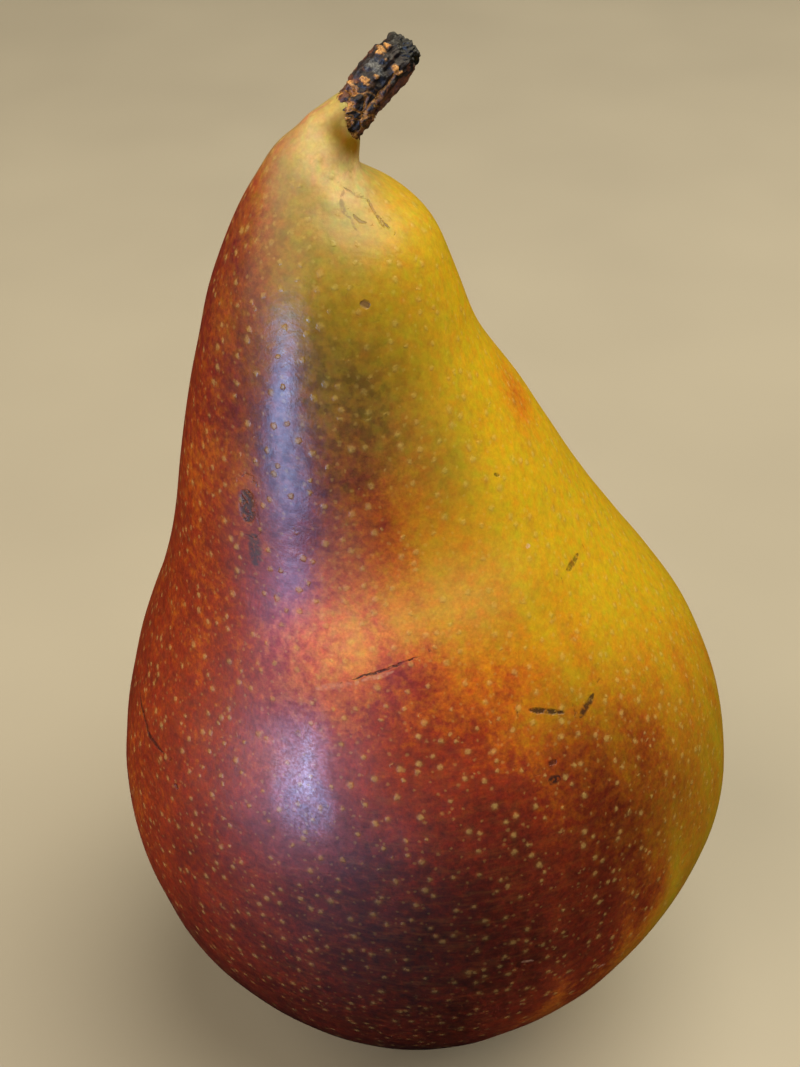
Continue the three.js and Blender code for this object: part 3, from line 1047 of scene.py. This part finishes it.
# %% [markdown]
# ## The stem
#
# The stem is wood with a dried bark, and it has broken off at its thick upper end. A bevelled curve would
# give the tube, but no crack or flake at a chosen place, so its surface is a grid about the curved middle
# line. First come three blunt ridges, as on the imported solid, and then the bark: long wrinkles, warped
# plates with cracks between them, loose flakes and a lumpy broken end. All of it is worked out on the stem
# before it is bent, where the places are easy to name: a turn and a share of the length.

# %% The stem before its bark
STEM_RINGS = 250
STEM_COLUMNS = 240
STEM_LENGTH = 11.4
STEM_RIDGES = 3
STEM_RIDGE_DEPTH = 0.07  # share of the radius
STEM_TWIST = 0.8

stem_profile = [(section_radius, share * STEM_LENGTH) for share, section_radius in STEM_SECTIONS]
stem_radius, stem_height = profile_rings(stem_profile, STEM_RINGS)
stem_turn = full_turn(STEM_COLUMNS)
along = np.clip(stem_height / STEM_LENGTH, 0, 1) + 0 * stem_turn
stem_reach = stem_radius * (1 + STEM_RIDGE_DEPTH * np.cos(STEM_RIDGES * stem_turn + STEM_TWIST * along))
straight = turned(stem_reach, stem_turn, along * STEM_LENGTH)
middle, way = stem_middle(along[:, 0])
side = np.cross([0, 1, 0], way)
side /= np.linalg.norm(side, axis=1, keepdims=True)
back = np.cross(way, side)
stem = middle[:, None] + straight[..., :1] * side[:, None] + straight[..., 1:2] * back[:, None]
print("stem's thickness in mm:", (2 * stem_radius.max()).round(2))

# %% [markdown]
# The cracks show the paler inner bark, so their pattern is needed twice: as depth here and as colour
# later. The warp keeps the plates from looking like a honeycomb, and they are deepest near the foot. What
# stands out most is named one by one: flakes that have come loose, one long crack, and the notch where the
# stem broke.

# %% Flakes, the long crack and the notch
LENGTHWAYS = np.array([1, 1, 0.22])  # stretches waves along the stem
PLATE_COUNT = (9, 12)  # round and along
BARK_FLAKES = [  # raised flakes: [turn in degrees, share of the length, half width, half length]
    (208, 0.87, 15, 0.022),
    (204, 0.82, 20, 0.020),
    (222, 0.79, 14, 0.018),
    (284, 0.79, 13, 0.026),
    (240, 0.60, 11, 0.024),
    (252, 0.665, 7, 0.014),
    (228, 0.52, 13, 0.020),
    (120, 0.75, 14, 0.030),
    (60, 0.60, 16, 0.035),
    (90, 0.42, 14, 0.030),
    (160, 0.55, 12, 0.030),
    (20, 0.85, 12, 0.025),
]
SPLIT_AT, SPLIT_START, SPLIT_END = 291, 0.36, 0.80  # the long crack: its turn, and its two ends
NOTCH_AT, NOTCH_WIDTH, NOTCH_DEPTH = 205, 70, 0.42  # the notch: its turn, degrees and mm
NOTCH_START = (0.80, 0.84)  # shares of the length


def aside_from(turn_at):
    """How many degrees round the stem each vertex lies from a turn, from -180 to 180."""
    return (np.degrees(stem_turn) - turn_at + 180) % 360 - 180


def on_bark(table):
    """The strongest of several soft ragged patches, each 1 in its middle and near 0 at its edge."""
    ragged = 0.35 * waves(straight, 0.7, 41) + 0.25 * waves(straight, 0.3, 42)
    found = np.zeros(along.shape)
    for turn_at, share_at, half_width, half_length in table:
        distance = np.hypot(aside_from(turn_at) / half_width, (along - share_at) / half_length)
        found = np.maximum(found, 1 - smoothstep(distance + ragged, 0.6, 1.2))
    return found


# %% Bark
warp = 0.040 * waves(straight, 2.6, 31) + 0.016 * waves(straight, 0.7, 32)
slide = 0.022 * waves(straight, 1.9, 33) + 0.008 * waves(straight, 0.6, 34)
crack_gap, plate_shade = plates(stem_turn / (2 * np.pi) + warp, along + slide, *PLATE_COUNT, 5)
plated = (1 - smoothstep(along, 0.46, 0.64)) * smoothstep(waves(straight, 2.8, 35), -1.4, -0.5)
crack = (1 - smoothstep(crack_gap, 0.05, 0.27)) * plated
split_aside = aside_from(SPLIT_AT) + 7 * waves(straight, 1.5, 36)
split_starts = smoothstep(along, SPLIT_START, SPLIT_START + 0.05)
split_here = split_starts * (1 - smoothstep(along, SPLIT_END - 0.05, SPLIT_END))
split = (1 - smoothstep(np.abs(split_aside), 1.5, 5.5)) * split_here
flake = on_bark(BARK_FLAKES)
broken = smoothstep(along, 0.84, 0.96)
above_notch = smoothstep(along + 0.02 * waves(straight, 0.9, 44), *NOTCH_START)
notch = NOTCH_DEPTH * above_notch * np.exp(-(aside_from(NOTCH_AT) / NOTCH_WIDTH) ** 2)
bark = (  # in mm, outwards
    0.13 * waves(straight * LENGTHWAYS, 1.1, 37)  # long wrinkles
    + 0.03 * waves(straight * LENGTHWAYS, 0.4, 38)  # and fine ones between them
    + 0.06 * waves(straight, 0.6, 39, 40)  # lumps
    + 0.10 * (plate_shade - 0.5) * (0.4 + 0.6 * plated)  # plates that stand at different heights
    - 0.18 * crack
    - 0.12 * split
    + 0.16 * flake
    - notch
    + 0.22 * broken * waves(straight, 1.3, 40)  # the lumpy broken end
    + 0.05 * (broken + 0.2) * waves(straight, 0.36, 43, 40)  # and its splinters
)
stem = stem + (bark * smoothstep(along, 0.0, 0.06))[..., None] * outward(stem)
print("stem in mm:", stem.min(axis=(0, 1)).round(2), stem.max(axis=(0, 1)).round(2))

# %% [markdown]
# The bark is nearly black, with a blue sheen painted on at the top, red-brown down its shaded side, and tan
# wherever a crack or a flake opens it.

# %% Colours of the bark
TAN_PATCHES = BARK_FLAKES[:7] + [(262, 0.30, 20, 0.03), (215, 0.34, 14, 0.03)]
# bluish patches that paint a sheen of light on the bark
PAINTED_SHEEN_PATCHES = [(238, 0.72, 22, 0.045), (300, 0.72, 8, 0.02), (100, 0.8, 20, 0.05)]
RED_PATCHES = [(335, 0.55, 30, 0.35), (215, 0.42, 30, 0.14), (160, 0.6, 30, 0.3)]

stem_piece = closed_surfaces("pear_stem", [stem], {
    "crack": [np.maximum(crack, split)],
    "tan": [on_bark(TAN_PATCHES)],
    "painted_sheen": [on_bark(PAINTED_SHEEN_PATCHES)],
    "red": [on_bark(RED_PATCHES)],
    "broken": [broken],
})

bark_shade = Shade("stem_bark")
bark_noise = bark_shade.noise(0.45, 4.0, 0.65)
bark_grit = bark_shade.noise(0.14, 2.0, 0.6, offset=30.0)
bark_color = bark_shade.ramp(bark_noise, [
    (0.32, (0.004, 0.003, 0.005)),
    (0.56, (0.014, 0.009, 0.012)),
    (0.76, (0.070, 0.034, 0.022)),
])
red_bark = bark_shade.ramp(bark_noise, [(0.35, (0.030, 0.010, 0.008)), (0.7, (0.20, 0.065, 0.030))])
bark_color = bark_shade.mix(bark_shade.attribute("red"), bark_color, red_bark)
# the painted sheen
painted_sheen_bark = bark_shade.ramp(bark_grit, [(0.35, (0.02, 0.022, 0.032)), (0.65, (0.17, 0.19, 0.22))])
bark_color = bark_shade.mix(bark_shade.attribute("painted_sheen"), bark_color, painted_sheen_bark)
tan_bark = bark_shade.ramp(bark_grit, [
    (0.30, (0.30, 0.11, 0.02)),
    (0.52, (0.58, 0.29, 0.07)),
    (0.72, (0.80, 0.55, 0.28)),
])
tan_patchy = bark_shade.span(bark_noise, 0.35, 0.6, 0.4, 1.0)
tan_share = bark_shade.times(bark_shade.attribute("tan"), tan_patchy)
bark_color = bark_shade.mix(tan_share, bark_color, tan_bark)
crack_patchy = bark_shade.span(bark_noise, 0.34, 0.52, 0.25, 0.95)
crack_share = bark_shade.times(bark_shade.attribute("crack"), crack_patchy)
bark_color = bark_shade.mix(crack_share, bark_color, tan_bark)
charred = bark_shade.ramp(bark_grit, [(0.45, (0.003, 0.003, 0.004)), (0.75, (0.035, 0.045, 0.040))])
charred_share = bark_shade.span(bark_shade.attribute("broken"), 0.2, 0.9, 0.0, 0.85)
bark_color = bark_shade.mix(charred_share, bark_color, charred)
bark_bump = bark_shade.bump(bark_grit, 0.05, bark_shade.bump(bark_noise, 0.10))
stem_piece.data.materials.append(bark_shade.finish(bark_color, 0.5, bark_bump))

# %% [markdown]
# ## The calyx
#
# In the hollow of the base sits what is left of the flower: a small dried cup, open downwards, five
# withered sepals spread from its rim, and the stubs of the stamens inside it. The cup is turned like the
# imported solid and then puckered. Each sepal is a closed blade with a flat oval section, and each stamen a
# thin crooked tube. They grew as one piece, so they go into one mesh.

# %% The cup
CUP_PROFILE = [  # [radius, height], from the floor inside, over the rim, to the top
    (0, 5.6),
    (0.9, 5.3),
    (1.3, 4.3),
    (1.8, 4.2),
    (2.1, 5.1),
    (2.0, 6.7),
    (1.5, 7.6),
    (0, 7.8),
]
CUP_RINGS = 70
CUP_COLUMNS = 120
PUCKERS = 10
PUCKER_DEPTH = 0.05  # share of the radius

cup_radius, cup_height = profile_rings(CUP_PROFILE, CUP_RINGS)
cup_turn = full_turn(CUP_COLUMNS)
cup_reach = cup_radius * (1 + PUCKER_DEPTH * np.cos(PUCKERS * cup_turn + np.sin(2 * cup_turn)))
cup = turned(cup_reach, cup_turn, cup_height)
cup += (0.07 * waves(cup, 0.9, 51))[..., None] * outward(cup)
print("cup in mm:", cup.min(axis=(0, 1)).round(2), cup.max(axis=(0, 1)).round(2))

# %% [markdown]
# A sepal or a stamen could be modelled once and copied, but withered ones all curl in their own way. So
# each is worked out from the same formula with its own seed.

# %% Sepals and stamens
SEPALS = 5
SEPAL_TURN = 0.35
SEPAL_LENGTH = 3.7
SEPAL_WIDTH = 2.4
SEPAL_THICKNESS = 0.42
SEPAL_ROOT = (1.4, 4.7)  # radius and height of its inner end
SEPAL_DROOP = 0.42
SEPAL_CURL = 0.07  # extra drop towards the tip, per mm squared
SEPAL_GUTTER = 0.22  # drop of both edges, per mm squared
SEPAL_SKEW = 0.16  # drop of one edge and rise of the other at the tip, per mm
SEPAL_WRINKLES = (0.12, 0.09)  # mm aside and up, at the tip
SEPAL_GRID = (40, 36)  # rings and columns
STAMENS = 14
STAMEN_RADIUS = 0.11
STAMEN_FOOT = 5.7  # height of the cup's floor
STAMEN_LENGTHS = (1.2, 2.2)
STAMEN_RING = (0.15, 0.85)  # how far from the cup's middle they stand
STAMEN_STEP = 2.4  # radians round the cup from one to the next
STAMEN_LEAN = 0.25
STAMEN_WOBBLE = 0.08
STAMEN_GRID = (12, 8)


def sepal(number):
    """A withered blade as a grid [ring, column], wrinkled towards its tip.

    Each ring is a flat ellipse. With s the share of the length, its width goes as the root of 4s(1 - s),
    which is a half circle from root to tip, and tapers. The middle line and the edges drop by parabolas.
    """
    rng = np.random.default_rng(60 + number)
    rings, columns = SEPAL_GRID
    share = (1 - np.cos(np.linspace(0, np.pi, rings)))[:, None] / 2
    round_it = full_turn(columns)
    outlined = np.sqrt(np.clip(4 * share * (1 - share), 0, 1)) * (1 - 0.45 * share)
    across = SEPAL_WIDTH / 2 * outlined * np.cos(round_it)
    through = SEPAL_THICKNESS / 2 * np.sqrt(outlined) * np.sin(round_it) * (1 - 0.5 * share)
    out = share * SEPAL_LENGTH * rng.uniform(0.9, 1.0) + 0 * across
    drop = SEPAL_DROOP * rng.uniform(0.8, 1.1) * out + SEPAL_CURL * rng.uniform(0.8, 1.05) * out**2
    gutter = SEPAL_GUTTER * across**2 + SEPAL_SKEW * share * across * rng.choice([-1, 1])
    place = np.stack([SEPAL_ROOT[0] + out, across, SEPAL_ROOT[1] - drop - gutter + through], axis=2)
    place[..., 2] += SEPAL_WRINKLES[1] * share * waves(place * (1, 1, 0.2), 0.9, 70 + number)
    place[..., 1] += SEPAL_WRINKLES[0] * share * waves(place * (1, 0.2, 0.2), 1.6, 80 + number)
    turn_by = SEPAL_TURN + number * 2 * np.pi / SEPALS + rng.uniform(-0.08, 0.08)
    spin = np.array([
        [math.cos(turn_by), math.sin(turn_by), 0],
        [-math.sin(turn_by), math.cos(turn_by), 0],
        [0, 0, 1],
    ])
    return place @ spin


def stamen(number):
    """A thin crooked tube from the floor of the cup towards its mouth.

    Its circles stand round a straight leaning line, pushed aside by sines, and swell a little near its end.
    """
    rng = np.random.default_rng(90 + number)
    rings, columns = STAMEN_GRID
    share = np.linspace(0, 1, rings)[:, None]
    round_it = full_turn(columns)
    ring_at = rng.uniform(*STAMEN_RING)
    turn_at = number * STAMEN_STEP
    lean = rng.uniform(-STAMEN_LEAN, STAMEN_LEAN, 2)
    rounded = np.sqrt(np.clip(1 - (2 * share - 1) ** 12, 0, 1))
    width = STAMEN_RADIUS * (1 + 0.5 * smoothstep(share, 0.7, 0.9)) * rounded
    x = ring_at * math.cos(turn_at) + lean[0] * share + STAMEN_WOBBLE * np.sin(7 * share + number)
    y = ring_at * math.sin(turn_at) + lean[1] * share + STAMEN_WOBBLE * np.cos(6 * share + number)
    z = STAMEN_FOOT - rng.uniform(*STAMEN_LENGTHS) * share
    return np.stack([x + width * np.sin(round_it), y + width * np.cos(round_it), z + 0 * round_it], axis=2)


calyx_shells = [cup] + [sepal(k) for k in range(SEPALS)] + [stamen(k) for k in range(STAMENS)]
calyx_shells = [shell + (BASE_X, 0, 0) for shell in calyx_shells]
calyx_piece = closed_surfaces("pear_calyx", calyx_shells, {})

# %% [markdown]
# Dried like this, the whole calyx is one dull brown, darker and lighter in small blotches.

# %% The calyx's material
calyx_shade = Shade("dried_calyx")
calyx_noise = calyx_shade.noise(0.6, 4.0, 0.6)
calyx_grit = calyx_shade.noise(0.2, 3.0, 0.6, offset=10.0)
calyx_color = calyx_shade.ramp(calyx_noise, [
    (0.30, (0.022, 0.012, 0.007)),
    (0.55, (0.085, 0.045, 0.022)),
    (0.75, (0.22, 0.13, 0.065)),
])
calyx_bump = calyx_shade.bump(calyx_grit, 0.05, calyx_shade.bump(calyx_noise, 0.08))
calyx_piece.data.materials.append(calyx_shade.finish(calyx_color, 0.8, calyx_bump))

# %% [markdown]
# ## The stage
#
# The pear stands on a plain pale floor, large enough to fill the camera's view. The gloss doesn't show it,
# because a pale floor would wash out the dark skin low on the bulb.

# %% The floor
FLOOR_REACH = 5  # in metres
FLOOR_TONES = [(0.3, (0.34, 0.325, 0.285)), (0.7, (0.37, 0.355, 0.31))]

corners = [(x * FLOOR_REACH, y * FLOOR_REACH, 0) for x, y in ((-1, -1), (1, -1), (1, 1), (-1, 1))]
floor_mesh = bpy.data.meshes.new("floor")
floor_mesh.from_pydata(corners, [], [(0, 1, 2, 3)])
floor = bpy.data.objects.new("floor", floor_mesh)
bpy.context.scene.collection.objects.link(floor)
floor_shade = Shade("pale_floor")
floor_noise = floor_shade.noise(60, 2.0, 0.5)
floor_color = floor_shade.ramp(floor_noise, FLOOR_TONES)
floor.data.materials.append(floor_shade.finish(floor_color, 0.55, floor_shade.bump(floor_noise, 0.05)))
floor.visible_glossy = False
print(f"floor: {2 * FLOOR_REACH} m wide")

# %% [markdown]
# Two large warm lamps light the form, one overhead and one from the left. Daylight from a window shows only
# in the gloss, as a long bluish reflection down the neck and a bright core on the bulb. Two small lamps
# give these, and they are left out of the diffuse light, so that they don't tint the skin. A dim warm room
# fills the shadows.

# %% Lights
LAMPS = [  # [name, place, target, (width, height), watts, color, whether it lights more than the gloss]
    ("overhead", (0.24, 0.06, 0.64), (0, 0, 0.06), (0.8, 0.8), 7.6, (1.0, 0.88, 0.66), True),
    ("left_bounce", (-0.44, -0.20, 0.38), (0, 0, 0.06), (0.8, 0.8), 3.9, (1.0, 0.82, 0.58), True),
    ("window", (-0.197, -0.228, 0.064), (-0.005, 0, 0.07), (0.118, 0.132), 0.89, (0.29, 0.51, 1.0), False),
    ("pane", (-0.176, -0.211, 0.079), (-0.011, -0.025, 0.058), (0.022, 0.045), 0.075, (0.4, 0.6, 1.0), False),
]
ROOM_COLOR = (1.0, 0.76, 0.42)
ROOM_STRENGTH = 0.12


def soft_light(name, place, target, size, watts, color, diffuse):
    """An elliptical lamp at `place`, turned towards `target`. Places and sizes are in metres."""
    data = bpy.data.lights.new(name, "AREA")
    data.shape = "ELLIPSE"
    data.size, data.size_y = size
    data.energy = watts
    data.color = color
    lamp = bpy.data.objects.new(name, data)
    bpy.context.scene.collection.objects.link(lamp)
    lamp.location = place
    lamp.rotation_euler = (Vector(target) - Vector(place)).to_track_quat("-Z", "Y").to_euler()
    lamp.visible_camera = False
    lamp.visible_diffuse = diffuse


for lamp_row in LAMPS:
    soft_light(*lamp_row)
world = bpy.data.worlds.new("room")
bpy.context.scene.world = world
world.use_nodes = True
world.cycles_visibility.glossy = False
world.node_tree.nodes["Background"].inputs["Color"].default_value = (*ROOM_COLOR, 1)
world.node_tree.nodes["Background"].inputs["Strength"].default_value = ROOM_STRENGTH
print("lamps:", [light.name for light in bpy.data.lights])

# %% [markdown]
# The camera looks down at the pear from the front at about 39 degrees. The view transform is the plain one,
# so that the colours given above are the colours seen.

# %% Camera
CAMERA_PLACE = (-0.0029, -0.116, 0.160)
CAMERA_TILT = 51  # degrees up from looking straight down
CAMERA_LENS = 49.46
SENSOR_WIDTH = 36

camera_data = bpy.data.cameras.new("camera")
camera_data.lens = CAMERA_LENS
camera_data.sensor_width = SENSOR_WIDTH
camera_data.sensor_fit = "AUTO"
camera_data.clip_start = 0.01
camera = bpy.data.objects.new("camera", camera_data)
camera.location = CAMERA_PLACE
camera.rotation_euler = (math.radians(CAMERA_TILT), 0, 0)
bpy.context.scene.collection.objects.link(camera)
bpy.context.scene.camera = camera
bpy.context.scene.view_settings.view_transform = "Standard"
print("camera looks down by", 90 - CAMERA_TILT, "degrees")

# %% [markdown]
# ## Attaching the pieces
#
# Each piece is told which body it rides on, and the solid that it replaces is hidden.

# %% Attach each piece and hide its solid
for piece, node, slot in (
    (fruit_piece, "fruit", "skin"),
    (stem_piece, "stem", "stem_wood"),
    (calyx_piece, "calyx", "dried_calyx"),
):
    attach(piece, "root")
    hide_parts(node)
